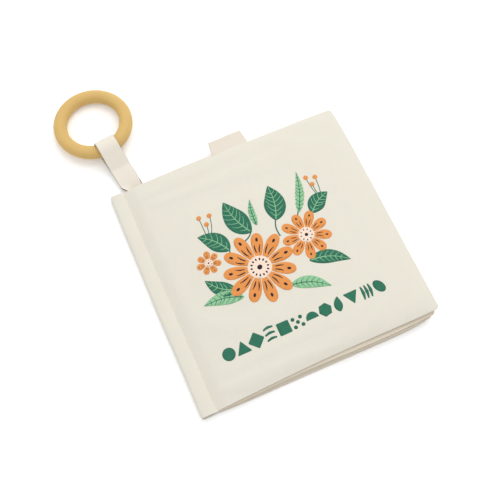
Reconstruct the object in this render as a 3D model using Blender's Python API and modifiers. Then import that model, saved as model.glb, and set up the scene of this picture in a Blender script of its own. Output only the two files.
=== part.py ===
"""Crinkle cloth book, closed and lying on its back cover, with a ring on a folded strap.

Two covers and two inner leaves are sewn through one stitch line next to the spine. Each leaf is
two cloth panels with a crinkle film between them, and each cover holds a thin wadding too. The
origin is the middle of the back cover's underside: X runs from the spine to the fore-edge, Y to
the top edge and Z up. Lengths are metres.
"""

import math

import bmesh
import bpy
from mathutils import Matrix, Vector

# The book as a whole
BOOK_HEIGHT = 0.160
PAGE_WIDTH = 0.156
SPINE_MARGIN = 0.010
TOP_EDGE_BOW = 0.0015
FORE_EDGE_BOW = 0.0008
SPINE_BOW = 0.0015
CORNER_ROUND = 0.003

# Cloth, filling and the clearance between pieces that touch
CLOTH = 0.0003
FILM = 0.0001
GAP = 0.0003
COVER_FULLNESS = 0.0038
LEAF_FULLNESS = 0.0022
SEAM_ROLL = 0.012
FILLING_INSET = 0.009
FILLING_START = 0.030

# Spine: the wrap round the sewn margins, and the thread of the stitch line
BAND_THICKNESS = 0.0053
BAND_OUTLINE_SHARES = [
    (0.0, 0.80), (0.12, 0.87), (0.3, 0.97), (0.5, 1.0), (0.7, 0.97), (0.85, 0.87), (0.95, 0.70),
    (1.0, 0.5),
    (0.95, 0.30), (0.85, 0.13), (0.7, 0.03), (0.5, 0.0), (0.3, 0.04), (0.12, 0.165), (0.0, 0.23),
]
THREAD = 0.0004
THREAD_WAVE = 0.0001
STITCH_LENGTH = 0.0032
STITCH_SETBACK = 0.0009

# Height of the line that every leaf turns about, over the pressed groove
HINGE_HEIGHT = 0.0065

# Ring, and the strap that holds it
RING_OUTER = 0.055
RING_TUBE = 0.0095
STRAP_WIDTH = 0.0143
STRAP_PLY = 0.0007
STRAP_FROM_STITCH = 0.0066
STRAP_REACH = 0.0327
STRAP_SKEW = math.radians(8)
LOOP_THROAT = 0.016

# Care label
LABEL_WIDTH = 0.023
LABEL_REACH = 0.0084
LABEL_PLY = 0.00035
LABEL_FROM_STITCH = 0.0785

# Mesh density
PANEL_ROWS = 12
FILLING_ROWS = 7
BAND_ROWS = 8
RING_STEPS = 36
TUBE_STEPS = 16
ARC_STEPS = 16

# Places that follow from the sizes above
SEAM = 2 * CLOTH + GAP
SPINE_X = -(SPINE_MARGIN + PAGE_WIDTH) / 2
STITCH_X = SPINE_X + SPINE_MARGIN
FORE_EDGE_X = STITCH_X + PAGE_WIDTH
PAGE_START = STITCH_X + GAP / 2
FULLNESS = [COVER_FULLNESS, LEAF_FULLNESS, LEAF_FULLNESS, COVER_FULLNESS]
BACK_COVER, LOWER_LEAF, UPPER_LEAF, FRONT_COVER = range(4)


def clear_scene():
    """Remove every object that the file opened with."""
    for thing in list(bpy.data.objects):
        bpy.data.objects.remove(thing, do_unlink=True)


def make_material(name, colour, roughness, metallic=0.0):
    """Principled material of one colour."""
    material = bpy.data.materials.new(name)
    material.use_nodes = True
    shader = material.node_tree.nodes["Principled BSDF"]
    shader.inputs["Base Color"].default_value = (*colour, 1.0)
    shader.inputs["Roughness"].default_value = roughness
    shader.inputs["Metallic"].default_value = metallic
    material.diffuse_color = (*colour, 1.0)
    return material


def place_object(name, data, material, matrix=None, parent=None):
    """Put a mesh or curve into the book's collection, at its world place and on its parent."""
    thing = bpy.data.objects.new(name, data)
    data.materials.append(material)
    bpy.data.collections["crinkle_cloth_book"].objects.link(thing)
    hang_on(thing, matrix or Matrix.Identity(4), parent)
    return thing


def hang_on(thing, matrix, parent):
    """Give an object its world matrix, under a parent if it has one."""
    if parent is None:
        thing.matrix_basis = matrix
    else:
        bpy.context.view_layer.update()
        thing.parent = parent
        thing.matrix_basis = parent.matrix_world.inverted() @ matrix


def make_hinge(name, place, parent=None):
    """Empty on a joint's axis, for the pieces that turn there."""
    hinge = bpy.data.objects.new(name, None)
    hinge.empty_display_size = SPINE_MARGIN
    bpy.data.collections["crinkle_cloth_book"].objects.link(hinge)
    hang_on(hinge, Matrix.Translation(place), parent)
    return hinge


def page_share(x):
    """Share of the way from the stitch line to the fore-edge."""
    return (x - STITCH_X) / PAGE_WIDTH


def top_edge(x):
    """Height of the page's top edge at x. The edge bows outwards between its corners."""
    return BOOK_HEIGHT / 2 - TOP_EDGE_BOW * (2 * page_share(x) - 1) ** 2


def fore_edge(up):
    """Place of the fore-edge at a share up of the half height, from -1 to 1."""
    return FORE_EDGE_X - FORE_EDGE_BOW * up ** 2


def roll(distance):
    """Fullness near a seam, from 0 at the seam to 1 where the leaf is as full as it gets."""
    return 1 - (1 - min(max(distance / SEAM_ROLL, 0), 1)) ** 2


def leaf_thickness(index, x):
    """Thickness of a leaf away from its seams. It is pressed flat at the stitch line."""
    growth = math.sqrt(max(page_share(x), 0))
    return SEAM + (FULLNESS[index] - SEAM) * growth


def leaf_faces(index, x, y):
    """Lowest and highest face of a leaf at a point of the page."""
    below = sum(leaf_thickness(other, x) + GAP for other in range(index))
    thickness = leaf_thickness(index, x)
    puff = roll(top_edge(x) - abs(y)) * roll(fore_edge(2 * y / BOOK_HEIGHT) - x)
    if index == BACK_COVER:
        return 0.0, SEAM + (thickness - SEAM) * puff
    middle = below + thickness / 2
    half = (SEAM + (thickness - SEAM) * puff) / 2
    return middle - half, middle + half


def page_point(u, v, start, inset):
    """Point of the page for two shares from 0 to 1, kept away from the three free edges."""
    across = (1 - math.cos(math.pi * u)) / 2
    up = -math.cos(math.pi * v)
    x = start + (fore_edge(up) - inset - start) * across
    y = up * (top_edge(x) - inset)
    if u > 0.999 and abs(up) > 0.999:
        cut = CORNER_ROUND * (1 - math.sqrt(0.5))
        x -= cut
        y -= math.copysign(cut, y)
    return x, y


def make_slab(name, faces, material, parent, rows, start, inset):
    """Closed sheet or pad on the page, between the two heights that faces gives for x and y."""
    shape = bmesh.new()
    bmesh.ops.create_grid(shape, x_segments=rows, y_segments=rows, size=1.0)
    for vert in shape.verts:
        x, y = page_point((vert.co.x + 1) / 2, (vert.co.y + 1) / 2, start, inset)
        vert.co = Vector((x, y, faces(x, y)[0]))
    raised = bmesh.ops.extrude_face_region(shape, geom=shape.faces[:])
    for item in raised["geom"]:
        if isinstance(item, bmesh.types.BMVert):
            item.co.z = faces(item.co.x, item.co.y)[1]
    bmesh.ops.recalc_face_normals(shape, faces=shape.faces[:])
    mesh = bpy.data.meshes.new(name)
    shape.to_mesh(mesh)
    shape.free()
    mesh.shade_smooth()
    mesh.set_sharp_from_angle(angle=math.radians(50))
    return place_object(name, mesh, material, parent=parent)


def make_lower_panel(name, index, material, parent=None):
    """Panel that is the underside of a leaf."""
    def faces(x, y):
        low = leaf_faces(index, x, y)[0]
        return low, low + CLOTH
    return make_slab(name, faces, material, parent, PANEL_ROWS, PAGE_START, 0)


def make_upper_panel(name, index, material, parent=None):
    """Panel that is the upper side of a leaf."""
    def faces(x, y):
        high = leaf_faces(index, x, y)[1]
        return high - CLOTH, high
    return make_slab(name, faces, material, parent, PANEL_ROWS, PAGE_START, 0)


def make_leaf_film(name, index, material, parent=None):
    """Crinkle film in the middle of an inner leaf."""
    def faces(x, y):
        middle = sum(leaf_faces(index, x, y)) / 2
        return middle - FILM / 2, middle + FILM / 2
    start = STITCH_X + FILLING_START
    return make_slab(name, faces, material, parent, FILLING_ROWS, start, FILLING_INSET)


def make_cover_film(name, index, material, parent=None):
    """Crinkle film of a cover, against the panel that faces the pages."""
    def faces(x, y):
        low, high = leaf_faces(index, x, y)
        if index == FRONT_COVER:
            film = low + CLOTH + GAP
        else:
            film = high - CLOTH - GAP - FILM
        return film, film + FILM
    start = STITCH_X + FILLING_START
    return make_slab(name, faces, material, parent, FILLING_ROWS, start, FILLING_INSET)


def make_wadding(name, index, material, parent=None):
    """Wadding of a cover, between its film and the panel that faces out."""
    def faces(x, y):
        low, high = leaf_faces(index, x, y)
        film_side = CLOTH + GAP + FILM + GAP
        cloth_side = CLOTH + GAP
        if index == FRONT_COVER:
            return low + film_side, high - cloth_side
        return low + cloth_side, high - film_side
    start = STITCH_X + FILLING_START
    return make_slab(name, faces, material, parent, FILLING_ROWS, start, FILLING_INSET)


def make_spine_wrap(material):
    """Cloth that goes round the sewn margins, from the upper to the lower side of the groove."""
    last = len(BAND_OUTLINE_SHARES) - 1
    shape = bmesh.new()
    bmesh.ops.create_grid(shape, x_segments=last, y_segments=BAND_ROWS, size=1.0)
    for vert in shape.verts:
        out, level = BAND_OUTLINE_SHARES[round((vert.co.x + 1) / 2 * last)]
        up = vert.co.y
        depth = SPINE_MARGIN - GAP / 2 - SPINE_BOW * up ** 2
        y = up * (BOOK_HEIGHT / 2 - TOP_EDGE_BOW)
        vert.co = Vector((STITCH_X - GAP / 2 - depth * out, y, BAND_THICKNESS * level))
    mesh = bpy.data.meshes.new("spine_wrap")
    shape.to_mesh(mesh)
    shape.free()
    mesh.shade_smooth()
    wrap = place_object("spine_wrap", mesh, material)
    shell = wrap.modifiers.new("cloth", "SOLIDIFY")
    shell.thickness = CLOTH
    shell.offset = 1
    shell.use_even_offset = True
    return wrap


def flat_outline(name, outlines, width):
    """Filled 2D curve through closed outlines, as thick as width. The second outline is a hole."""
    curve = bpy.data.curves.new(name, "CURVE")
    curve.dimensions = "2D"
    curve.fill_mode = "BOTH"
    curve.extrude = width / 2
    for points in outlines:
        spline = curve.splines.new("POLY")
        spline.points.add(len(points) - 1)
        for place, (a, b) in zip(spline.points, points):
            place.co = (a, b, 0, 1)
        spline.use_cyclic_u = True
    return curve


def make_sewn_margins(material):
    """Pressed margins of all panels inside the wrap."""
    valley_shares = BAND_OUTLINE_SHARES[0][1] - BAND_OUTLINE_SHARES[-1][1]
    middle = BAND_THICKNESS * (BAND_OUTLINE_SHARES[0][1] + BAND_OUTLINE_SHARES[-1][1]) / 2
    shrink = 1 - (CLOTH + GAP) / (BAND_THICKNESS * valley_shares / 2)
    depth = SPINE_MARGIN - SPINE_BOW - CLOTH - GAP
    points = []
    for out, level in BAND_OUTLINE_SHARES:
        x = STITCH_X - GAP / 2 - depth * out
        points.append((x, middle + (BAND_THICKNESS * level - middle) * shrink))
    curve = flat_outline("sewn_margins", [points], BOOK_HEIGHT - 2 * TOP_EDGE_BOW)
    return place_object("sewn_margins", curve, material, Matrix.Rotation(math.pi / 2, 4, "X"))


def make_stitch_thread(name, level, side, material):
    """One row of the stitch line: a thread along the groove, over or under the wrap."""
    curve = bpy.data.curves.new(name, "CURVE")
    curve.dimensions = "3D"
    curve.bevel_depth = THREAD / 2
    curve.bevel_resolution = 0
    curve.use_fill_caps = True
    reach = BOOK_HEIGHT / 2 - TOP_EDGE_BOW - STITCH_LENGTH
    count = 2 * round(reach / STITCH_LENGTH) * 2
    spline = curve.splines.new("POLY")
    spline.points.add(count)
    for number, place in enumerate(spline.points):
        y = reach * (2 * number / count - 1)
        lift = THREAD_WAVE / 2 * (-1) ** number
        z = BAND_THICKNESS * level + side * (GAP + THREAD / 2 + THREAD_WAVE / 2) + lift
        place.co = (STITCH_X - STITCH_SETBACK, y, z, 1)
    return place_object(name, curve, material)


def arc(radius, centre, start, end, steps):
    """Points of an arc about a centre, from one angle to another."""
    points = []
    for number in range(steps + 1):
        angle = start + (end - start) * number / steps
        points.append((centre + radius * math.cos(angle), radius * math.sin(angle)))
    return points


def loop_radius():
    """Inner radius of the strap's loop. The ring's hole curves in across the strap's width."""
    ring_radius = (RING_OUTER - RING_TUBE) / 2
    hole_radius = ring_radius - RING_TUBE / 2
    return ring_radius - math.sqrt(hole_radius ** 2 - (STRAP_WIDTH / 2) ** 2) + GAP


def strap_frame():
    """Place and turn of the strap's joint, and its distance and height to the loop's centre."""
    side = STRAP_WIDTH / 2 * math.sin(STRAP_SKEW)
    x = STITCH_X + STRAP_FROM_STITCH
    y = top_edge(x) + GAP + STRAP_PLY + side
    z = STRAP_PLY + GAP
    outer = loop_radius() + STRAP_PLY
    pitch = math.asin((outer + GAP / 2 - z) / STRAP_REACH)
    skew = Matrix.Rotation(STRAP_SKEW, 4, "Z")
    return Matrix.Translation((x, y, z)) @ skew @ Matrix.Rotation(pitch, 4, "X")


def make_strap(material):
    """Strap folded round the ring: a flat tail and a loop, with its end round on its joint."""
    inner = loop_radius()
    outer = inner + STRAP_PLY
    reach = math.hypot(LOOP_THROAT, STRAP_PLY)
    touch = math.atan2(STRAP_PLY, -LOOP_THROAT) - math.acos(outer / reach)
    apex = STRAP_REACH - inner / math.cos(math.pi - touch)
    merge = STRAP_REACH - LOOP_THROAT
    outside = arc(STRAP_PLY, 0, math.pi * 3 / 2, math.pi / 2, ARC_STEPS // 2)
    outside += [(merge, STRAP_PLY)]
    outside += arc(outer, STRAP_REACH, touch, -touch, ARC_STEPS)
    outside += [(merge, -STRAP_PLY)]
    hole = [(apex, 0)] + arc(inner, STRAP_REACH, touch, -touch, ARC_STEPS)
    curve = flat_outline("ring_strap", [outside, hole], STRAP_WIDTH)
    along = Matrix(((0, 0, 1, 0), (1, 0, 0, 0), (0, 1, 0, 0), (0, 0, 0, 1)))
    return place_object("ring_strap", curve, material, strap_frame() @ along)


def make_ring(material, strap):
    """Ring lying in the loop, with its far side on the table and its origin on its joint."""
    radius = (RING_OUTER - RING_TUBE) / 2
    bpy.ops.mesh.primitive_torus_add(
        major_radius=radius, minor_radius=RING_TUBE / 2,
        major_segments=RING_STEPS, minor_segments=TUBE_STEPS)
    raw = bpy.context.object
    mesh = raw.data
    bpy.data.objects.remove(raw)
    mesh.name = "ring"
    mesh.transform(Matrix.Translation((0, radius, 0)))
    mesh.shade_smooth()
    centre = strap_frame() @ Vector((0, STRAP_REACH, 0))
    tilt = -math.asin((centre.z - RING_TUBE / 2) / (2 * radius))
    turn = Matrix.Rotation(STRAP_SKEW, 4, "Z") @ Matrix.Rotation(tilt, 4, "X")
    return place_object("ring", mesh, material, Matrix.Translation(centre) @ turn, strap)


def make_label(material, cover_hinge):
    """Folded care label in the front cover's top seam, with its end round on its joint."""
    x = STITCH_X + LABEL_FROM_STITCH
    half = LABEL_PLY + GAP / 2
    low, high = leaf_faces(FRONT_COVER, x, top_edge(x))
    centre = Vector((x, top_edge(x) + GAP + half, (low + high) / 2))
    far = LABEL_REACH - 2 * half
    outside = arc(half, 0, math.pi * 3 / 2, math.pi / 2, ARC_STEPS // 2)
    outside += arc(half, far, math.pi / 2, -math.pi / 2, ARC_STEPS // 2)
    slit = arc(GAP / 2, 0, math.pi * 3 / 2, math.pi / 2, ARC_STEPS // 2)
    slit += arc(GAP / 2, far, math.pi / 2, -math.pi / 2, ARC_STEPS // 2)
    curve = flat_outline("care_label", [outside, slit], LABEL_WIDTH)
    along = Matrix(((0, 0, 1, 0), (1, 0, 0, 0), (0, 1, 0, 0), (0, 0, 0, 1)))
    place = Matrix.Translation(centre) @ along
    return place_object("care_label", curve, material, place, cover_hinge)


def build():
    """Build the whole book."""
    clear_scene()
    collection = bpy.data.collections.new("crinkle_cloth_book")
    bpy.context.scene.collection.children.link(collection)

    canvas = make_material("canvas", (0.80, 0.76, 0.66), 0.95)
    page_cloth = make_material("page_cloth", (0.82, 0.79, 0.70), 0.95)
    wadding = make_material("wadding", (0.88, 0.88, 0.86), 1.0)
    film = make_material("crinkle_film", (0.75, 0.77, 0.80), 0.25, 0.3)
    thread = make_material("thread", (0.78, 0.74, 0.64), 0.8)
    webbing = make_material("webbing", (0.78, 0.74, 0.64), 0.9)
    silicone = make_material("silicone", (0.73, 0.49, 0.16), 0.55)
    label_tape = make_material("label_tape", (0.84, 0.80, 0.70), 0.8)

    make_lower_panel("back_cover_outer_panel", BACK_COVER, canvas)
    make_wadding("back_cover_wadding", BACK_COVER, wadding)
    make_cover_film("back_cover_crinkle_film", BACK_COVER, film)
    make_upper_panel("back_cover_inner_panel", BACK_COVER, page_cloth)
    make_spine_wrap(canvas)
    make_sewn_margins(page_cloth)
    make_stitch_thread("upper_stitch_thread", BAND_OUTLINE_SHARES[1][1], 1, thread)
    make_stitch_thread("lower_stitch_thread", BAND_OUTLINE_SHARES[-2][1], -1, thread)

    line = Vector((STITCH_X, 0, HINGE_HEIGHT))
    lower = make_hinge("lower_leaf_hinge", line)
    upper = make_hinge("upper_leaf_hinge", line, lower)
    cover = make_hinge("front_cover_hinge", line, upper)
    for name, index, hinge in (("lower_leaf", LOWER_LEAF, lower), ("upper_leaf", UPPER_LEAF, upper)):
        make_lower_panel(name + "_back_panel", index, page_cloth, hinge)
        make_leaf_film(name + "_crinkle_film", index, film, hinge)
        make_upper_panel(name + "_front_panel", index, page_cloth, hinge)
    make_lower_panel("front_cover_inner_panel", FRONT_COVER, page_cloth, cover)
    make_cover_film("front_cover_crinkle_film", FRONT_COVER, film, cover)
    make_wadding("front_cover_wadding", FRONT_COVER, wadding, cover)
    make_upper_panel("front_cover_outer_panel", FRONT_COVER, canvas, cover)

    strap = make_strap(webbing)
    make_ring(silicone, strap)
    make_label(label_tape, cover)


build()
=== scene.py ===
"""Crinkle cloth book with a teething ring: canvas covers, page cloth, print and studio setting.

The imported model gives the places. X runs from the spine to the fore-edge, Y to the top edge and
Z up, in metres, from the middle of the back cover's underside.
"""

from math import acos, asin, atan2, ceil, copysign, cos, floor, hypot, pi, radians, sin, sqrt, tau

import bmesh
import bpy
import numpy as np
from mathutils import Matrix, Vector, noise
from mathutils.bvhtree import BVHTree


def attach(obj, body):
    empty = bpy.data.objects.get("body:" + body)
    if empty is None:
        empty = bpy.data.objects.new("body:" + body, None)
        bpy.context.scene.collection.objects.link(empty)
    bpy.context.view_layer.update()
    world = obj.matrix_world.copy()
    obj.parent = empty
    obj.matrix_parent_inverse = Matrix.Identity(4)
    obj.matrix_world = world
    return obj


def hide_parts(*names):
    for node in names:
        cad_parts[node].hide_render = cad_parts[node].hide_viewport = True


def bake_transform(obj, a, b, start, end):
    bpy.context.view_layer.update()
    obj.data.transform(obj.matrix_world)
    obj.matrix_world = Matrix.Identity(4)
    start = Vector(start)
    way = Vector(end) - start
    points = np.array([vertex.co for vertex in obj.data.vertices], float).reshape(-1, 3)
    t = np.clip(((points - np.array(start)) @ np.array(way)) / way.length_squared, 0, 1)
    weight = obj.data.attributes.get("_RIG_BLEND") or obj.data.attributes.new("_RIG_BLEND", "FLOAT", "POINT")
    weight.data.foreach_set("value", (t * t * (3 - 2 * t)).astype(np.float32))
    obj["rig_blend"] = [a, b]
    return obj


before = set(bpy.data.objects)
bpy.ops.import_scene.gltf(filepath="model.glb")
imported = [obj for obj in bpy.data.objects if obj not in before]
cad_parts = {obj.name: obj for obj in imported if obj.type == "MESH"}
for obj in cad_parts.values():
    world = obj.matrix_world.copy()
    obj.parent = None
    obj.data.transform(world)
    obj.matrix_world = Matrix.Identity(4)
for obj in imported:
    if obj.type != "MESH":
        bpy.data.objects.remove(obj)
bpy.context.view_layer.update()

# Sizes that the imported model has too
MM = 0.001
BOOK_HEIGHT = 0.160
HALF = BOOK_HEIGHT / 2
PAGE_WIDTH = 0.156
SPINE_MARGIN = 0.010
TOP_EDGE_BOW = 0.0015
FORE_EDGE_BOW = 0.0008
SPINE_BOW = 0.0003
CORNER_ROUND = 0.0018
CLOTH = 0.0003
FILM = 0.0001
GAP = 0.0003
SEAM = 2 * CLOTH + GAP
SEAM_ROLL = 0.012
FILLING_INSET = 0.009
FILLING_START = 0.030
BAND_THICKNESS = 0.0053
SPINE_X = -(SPINE_MARGIN + PAGE_WIDTH) / 2
STITCH_X = SPINE_X + SPINE_MARGIN
FORE_EDGE_X = STITCH_X + PAGE_WIDTH
FULLNESS = [0.0038, 0.0022, 0.0022, 0.0038]
FILLING_OUT = 0.36
BACK_COVER, FRONT_COVER = 0, 3
BASE = "back_cover_and_spine"
RING_OUTER = 0.055
RING_TUBE = 0.0095
STRAP_WIDTH = 0.0143
STRAP_PLY = 0.0007
STRAP_FROM_STITCH = 0.0066
STRAP_REACH = 0.0327
STRAP_SKEW = radians(8)
LOOP_THROAT = 0.016
LABEL_WIDTH = 0.0242
LABEL_REACH = 0.0084
LABEL_PLY = 0.00035
LABEL_FROM_STITCH = 0.0785

# How the closed leaves lie, from the back cover up: a slight turn about the head of the spine, a
# shift, a fan towards the fore-edge, a raised corner and a tucked lower corner
LEAF_TURN = [0.021, 0.019, 0.012, 0.0]
LEAF_SHIFT = [0.0006, 0.0004, 0.0003, 0.0]
LEAF_FAN = [0.0028, 0.0014, 0.0006, 0.0]
LIFT_SHARE = [0.0, 0.30, 0.62, 1.0]
CORNER_LIFT = 0.0013
LIFT_FROM = (-0.010, 0.005)
CORNER_TUCK = [0.0015, 0.0011, 0.0003, 0.0]
CORNER_REACH = 0.020

# The groove along the spine, and the width over which it draws the layers together
VALLEY_OFFSET = 0.0007
VALLEY_SLANT = 0.0007
VALLEY_LEVEL = 0.0043
LOWER_VALLEY = 0.0009
PRESSED_WIDTH = 0.0090

# How far the seam along the lower edge sags towards the leaf below
SAG = [0.0, 0.0003, 0.0005, 0.0013]
SEAM_EDGE = 0.0007


def edge_curve(places, values):
    """Smooth curve of values in mm at places in mm along an edge."""
    return np.poly1d(np.polyfit(np.array(places) / (HALF / MM), values, 5))


# How far the edges are drawn in, in mm: the lower edge of each leaf, the top and the fore-edge
DRAWN_AT = [-73, -65, -50, -30, 0, 30, 55, 72, 83]
DRAWN_CURVES = [edge_curve(DRAWN_AT, values) for values in (
    [-1.5, -1.9, -1.2, -0.8, 0.0, 0.1, 0.0, 0.0, 0.0],
    [-1.5, -1.8, -0.8, 0.5, 1.2, 0.8, 0.3, -0.3, 0],
    [-1.5, -1.7, -0.7, 0.5, 1.1, 0.6, 0.1, 0.0, 0.0],
    [-1.5, -1.4, -0.1, 1.0, 1.8, 1.45, 1.1, -0.3, 0.0])]
TOP_CURVE = edge_curve(DRAWN_AT, [0.0, 0.2, 0.6, 0.6, 1.15, 1.3, 0.85, 0.4, 0.5])
FORE_CURVE = edge_curve([-80, -65, -50, -30, -10, 10, 30, 50, 65, 80],
                        [0.15, 0.55, 0.6, 0.5, 0.35, 0.25, -0.15, -0.5, -0.35, 0.2])

# Meshes of the panels: rows, rolled seam edge, turned-in allowance and wall
ROWS = 72
FILLING_ROWS = 48
RIM = 0.0005
RIM_GAP = 0.00003
RIM_WAVE = 0.00012
TURNED_IN = 0.0016
SHELL = 0.0002
INNER_ROLL = 0.0060

# Soft waves of the cloth, and how high a crease of the simulation gets
WAVE_LIMIT = 0.0007
PLAIN_WAVE = 0.00006
BROAD_WAVE, FINE_WAVE, COVER_RIDGE, QUICK_RIDGE = 0.00013, 0.00005, 0.00007, 0.00010
CREASE_CAP, SEAM_CREASE_CAP = 0.00014, 0.00022

# Cloth simulation of each leaf: slack of its cloth, stiffness in bending and share of filling
SIM_ROWS = 56
SIM_FRAMES = 20
SIM_SLACK = [0.010, 0.013, 0.012, 0.012]
SIM_BENDING = [0.5, 0.3, 0.35, 0.3]
SIM_FILL = [1.02, 1.04, 1.03, 1.05]
SIM_STIFFNESS = 15.0
BROAD_SWELLING = 26


def clamp(value, low=0.0, high=1.0):
    return np.minimum(np.maximum(value, low), high)


def smooth(value):
    """Smooth step from 0 to 1."""
    t = clamp(value)
    return t * t * (3 - 2 * t)


def page_share(x):
    """Share of the way from the stitch line to the fore-edge."""
    return clamp((x - STITCH_X) / PAGE_WIDTH, 0.0, 1.05)


def top_edge(x):
    return HALF - TOP_EDGE_BOW * (2 * (x - STITCH_X) / PAGE_WIDTH - 1) ** 2


def fore_edge(up):
    return FORE_EDGE_X - FORE_EDGE_BOW * up ** 2


def valley_x(y):
    """Bottom of the groove along the spine, which runs a little askew."""
    return STITCH_X + VALLEY_OFFSET - VALLEY_SLANT * y / HALF


def seam_distances(x, y):
    """Distances to the nearer of the top and lower seams and to the seam at the fore-edge."""
    return top_edge(x) - np.abs(y), fore_edge(y / HALF) - x


def puffed(x, y, reach=SEAM_ROLL):
    """Fullness from 0 at a seam to 1 where the leaf is as full as it gets."""
    puff = 1.0
    for distance in seam_distances(x, y):
        puff = puff * (1 - (1 - clamp(distance / reach)) ** 2)
    return puff


def leaf_thickness(index, x):
    return SEAM + (FULLNESS[index] - SEAM) * page_share(x) ** FILLING_OUT


def fractal(points, size, seed, octaves=3):
    """Smooth noise about -1 to 1 on an array of x, y places, with its features about size wide."""
    return np.array([noise.fractal(Vector((x / size, y / size, seed * 7.31)), 1.0, 2.1, octaves)
                     for x, y in points])


def ridges(points, size, seed, turn, stretch):
    """Soft creases that run one way, from 0 to 1."""
    c, s = cos(turn), sin(turn)
    values = []
    for x, y in points:
        along, aside = (x * c + y * s) / (size * stretch), (-x * s + y * c) / size
        bend = noise.noise(Vector((along * 0.7, aside * 0.7, seed + 3.7)))
        value = noise.noise(Vector((along, aside + 0.6 * bend, seed * 5.13)))
        values.append(1 - abs(value) * 2)
    return np.maximum(np.array(values), 0) ** 3


def lift(x, y):
    """How much the front cover rises towards its lower outer corner."""
    out = smooth((x - LIFT_FROM[0]) / (FORE_EDGE_X - LIFT_FROM[0]))
    down = smooth((LIFT_FROM[1] - y) / (HALF + LIFT_FROM[1]))
    return CORNER_LIFT * out * down


def drawn_in(index, x, y):
    """How far a point is drawn up by the slack of the lower edge, or down by the top edge's."""
    along = clamp(x, STITCH_X, FORE_EDGE_X) / HALF
    low, high = (clamp(way * y / HALF, 0.0, 1.1) ** 3 for way in (-1, 1))
    return (DRAWN_CURVES[index](along) * low - TOP_CURVE(along) * high) * MM


def lie(index, x, y):
    """Where a point of the square page lies once the book is closed."""
    share, turn = page_share(x), LEAF_TURN[index]
    fore = FORE_CURVE(clamp(y / HALF, -1, 1)) * MM * share ** 3
    corner = (clamp(1 - (FORE_EDGE_X - x) / CORNER_REACH)
              * clamp(1 - (HALF + y) / CORNER_REACH))
    tuck = CORNER_TUCK[index] * corner ** 1.5
    moved_x = x - (turn * (HALF - y) + LEAF_FAN[index]) * share - fore - 0.4 * tuck
    moved_y = y - turn * PAGE_WIDTH * share - LEAF_SHIFT[index] + drawn_in(index, x, y) + tuck
    return moved_x, moved_y


def leaf_middle(index, x, y):
    """Height of a leaf's middle layer."""
    thickness = leaf_thickness(index, x)
    if index == BACK_COVER:
        return (SEAM + (thickness - SEAM) * puffed(x, y)) / 2
    below = sum(leaf_thickness(other, x) + GAP for other in range(index))
    slack = SAG[index] * np.sin(pi * clamp(page_share(x))) ** 0.7 * (1 - puffed(x, y))
    return below + thickness / 2 + LIFT_SHARE[index] * lift(x, y) - np.where(y < 0, slack, 0)


def leaf_half(index, x, y, reach=SEAM_ROLL):
    """Half of a leaf's thickness."""
    return (SEAM_EDGE + (leaf_thickness(index, x) - SEAM_EDGE) * puffed(x, y, reach)) / 2


def press(x, y, z):
    """Heights near the stitch line, where all layers are pulled together between two grooves."""
    near = (1 - clamp((x - valley_x(y)) / PRESSED_WIDTH)) ** 2
    share = z / (sum(leaf_thickness(index, x) for index in range(4)) + 3 * GAP)
    pressed = LOWER_VALLEY + (VALLEY_LEVEL - LOWER_VALLEY) * share
    return z + near * (pressed - z)


def denser(share):
    """Shares from 0 to 1 that lie closer together towards both ends."""
    return 0.45 * share + 0.55 * (1 - np.cos(pi * share)) / 2


def page_place(u, v, start, inset):
    """Points of the square page for shares u from 0 to 1 and v from -1 to 1."""
    up = 2 * denser((v + 1) / 2) - 1
    edge = fore_edge(up) - inset
    x = start + (edge - start) * denser(u)
    height = top_edge(x) - inset
    y = up * height
    corner_x, corner_y = edge - CORNER_ROUND, height - CORNER_ROUND
    p = clamp((x - corner_x) / CORNER_ROUND)
    q = clamp((np.abs(y) - corner_y) / CORNER_ROUND)
    inside = (p > 0) & (q > 0)
    x = np.where(inside, corner_x + CORNER_ROUND * p * np.sqrt(1 - q * q / 2), x)
    bent = corner_y + CORNER_ROUND * q * np.sqrt(1 - p * p / 2)
    return x, np.where(inside, np.sign(y) * bent, y)


def grid(columns, rows, size=1.0):
    """New square sheet from -size to size."""
    shape = bmesh.new()
    bmesh.ops.create_grid(shape, x_segments=columns, y_segments=rows, size=size)
    return shape


def shares(shape):
    """Shares of a square sheet's verts, u from 0 to 1 and v from -1 to 1."""
    across, up = np.array([vert.co[:2] for vert in shape.verts]).T
    return (across + 1) / 2, up


def recalculate(shape, side=0, key=None):
    """Consistent normals. With a side, the face that key ranks first looks up or down."""
    bmesh.ops.recalc_face_normals(shape, faces=shape.faces[:])
    if side and max(shape.faces, key=key).normal.z * side < 0:
        bmesh.ops.reverse_faces(shape, faces=shape.faces[:])


def lay_flat(shape, flat):
    """Flat layout of the cloth, from a place for each vert."""
    layer = shape.loops.layers.uv.new("cloth")
    for face in shape.faces:
        for loop in face.loops:
            loop[layer].uv = flat[loop.vert]


def extruded(shape, edges, steps):
    """Extrude border edges once for each step, and give the step and the root of each new vert."""
    ring = {vert: vert for edge in edges for vert in edge.verts}
    for step in steps:
        made = bmesh.ops.extrude_edge_only(shape, edges=edges)["geom"]
        fresh = {item for item in made if isinstance(item, bmesh.types.BMVert)}
        edges = [item for item in made if isinstance(item, bmesh.types.BMEdge)
                 and fresh.issuperset(item.verts)]
        ring = {vert: ring[other] for vert in fresh for edge in vert.link_edges
                if (other := edge.other_vert(vert)) not in fresh and other in ring}
        yield step, ring


def new_object(name, shape, material=None):
    """New object of a shape, with its place in its mesh."""
    mesh = bpy.data.meshes.new(name)
    shape.to_mesh(mesh)
    shape.free()
    if material:
        mesh.materials.append(material)
    thing = bpy.data.objects.new(name, mesh)
    bpy.context.scene.collection.objects.link(thing)
    return thing


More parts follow.
